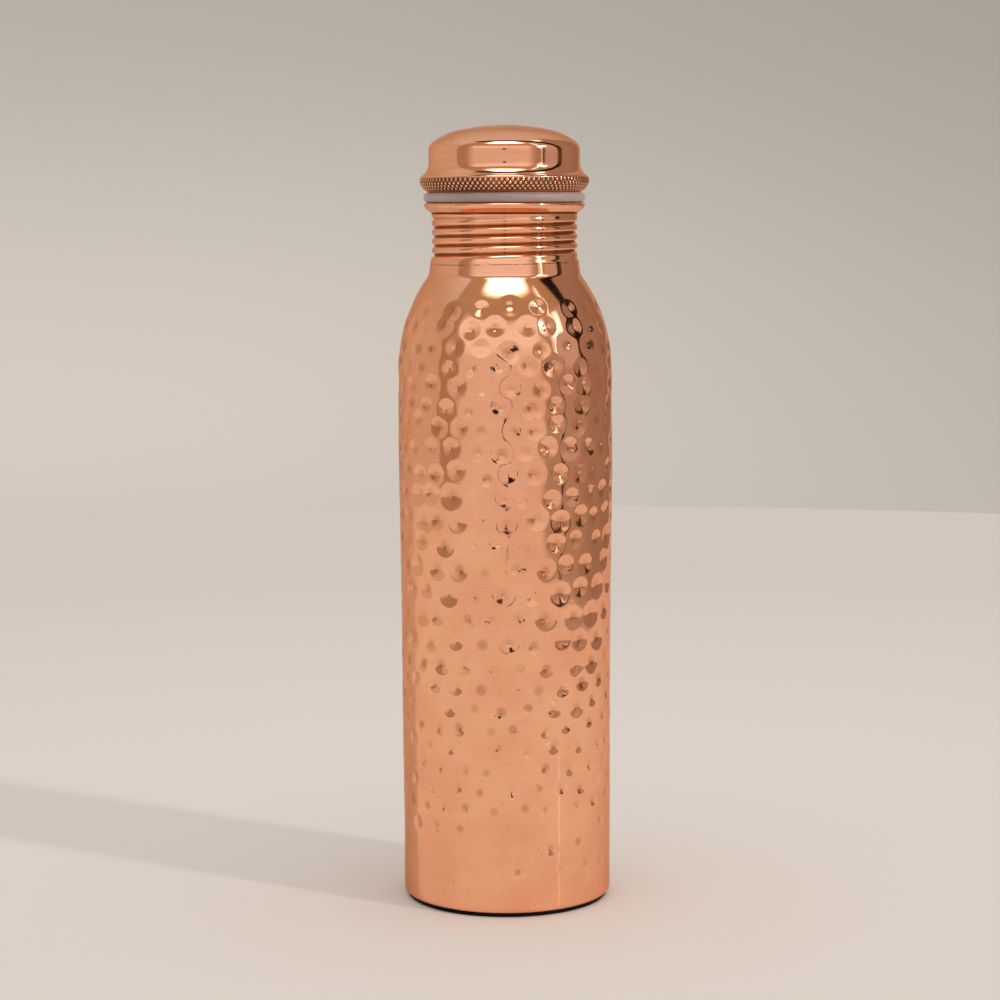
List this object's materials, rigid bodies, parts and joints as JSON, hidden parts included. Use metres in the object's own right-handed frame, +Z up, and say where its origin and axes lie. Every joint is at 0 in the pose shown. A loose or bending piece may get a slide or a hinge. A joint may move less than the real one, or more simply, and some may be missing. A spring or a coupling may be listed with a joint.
{
  "type": "copper water bottle",
  "caption": "Tall hammered copper water bottle with a rolled-thread neck, silicone seal ring and a domed screw-in cap with a knurled grip band.",
  "frame": {"origin": "centre of the foot, on the ground plane", "axes": "+Z up along the bottle's axis, towards the cap; the bottle is round, so X and Y are free"},
  "size_m": [0.0736, 0.0736, 0.266],
  "materials": {
    "hammered_copper": "polished, hand hammered copper",
    "cap_copper": "polished copper with a dark patina in the knurl",
    "plain_copper": "plain satin copper",
    "solder": "dull tin solder",
    "foot_rubber": "black, slightly glossy",
    "silicone": "milky translucent silicone"
  },
  "bodies": {
    "bottle": {"bottle_shell": "hammered_copper", "base_disc": "plain_copper", "base_solder": "solder", "foot_pad": "foot_rubber"},
    "seal": {"seal_ring": "silicone"},
    "cap": {"cap_shell": "cap_copper", "cap_plug": "plain_copper"}
  },
  "joints": [
    {"name": "cap_lift", "type": "slide", "parent": "bottle", "child": "seal", "axis": [0, 0, 1], "range_m": [0, 0.02171]},
    {"name": "cap_turn", "type": "hinge", "parent": "seal", "child": "cap", "pos_m": [0, 0, 0.2415], "axis": [0, 0, 1], "range_deg": [0, 2520]}
  ],
  "couplings": [
    {"joint": "cap_lift", "follows": "cap_turn", "m_per_rad": 0.00049338}
  ]
}
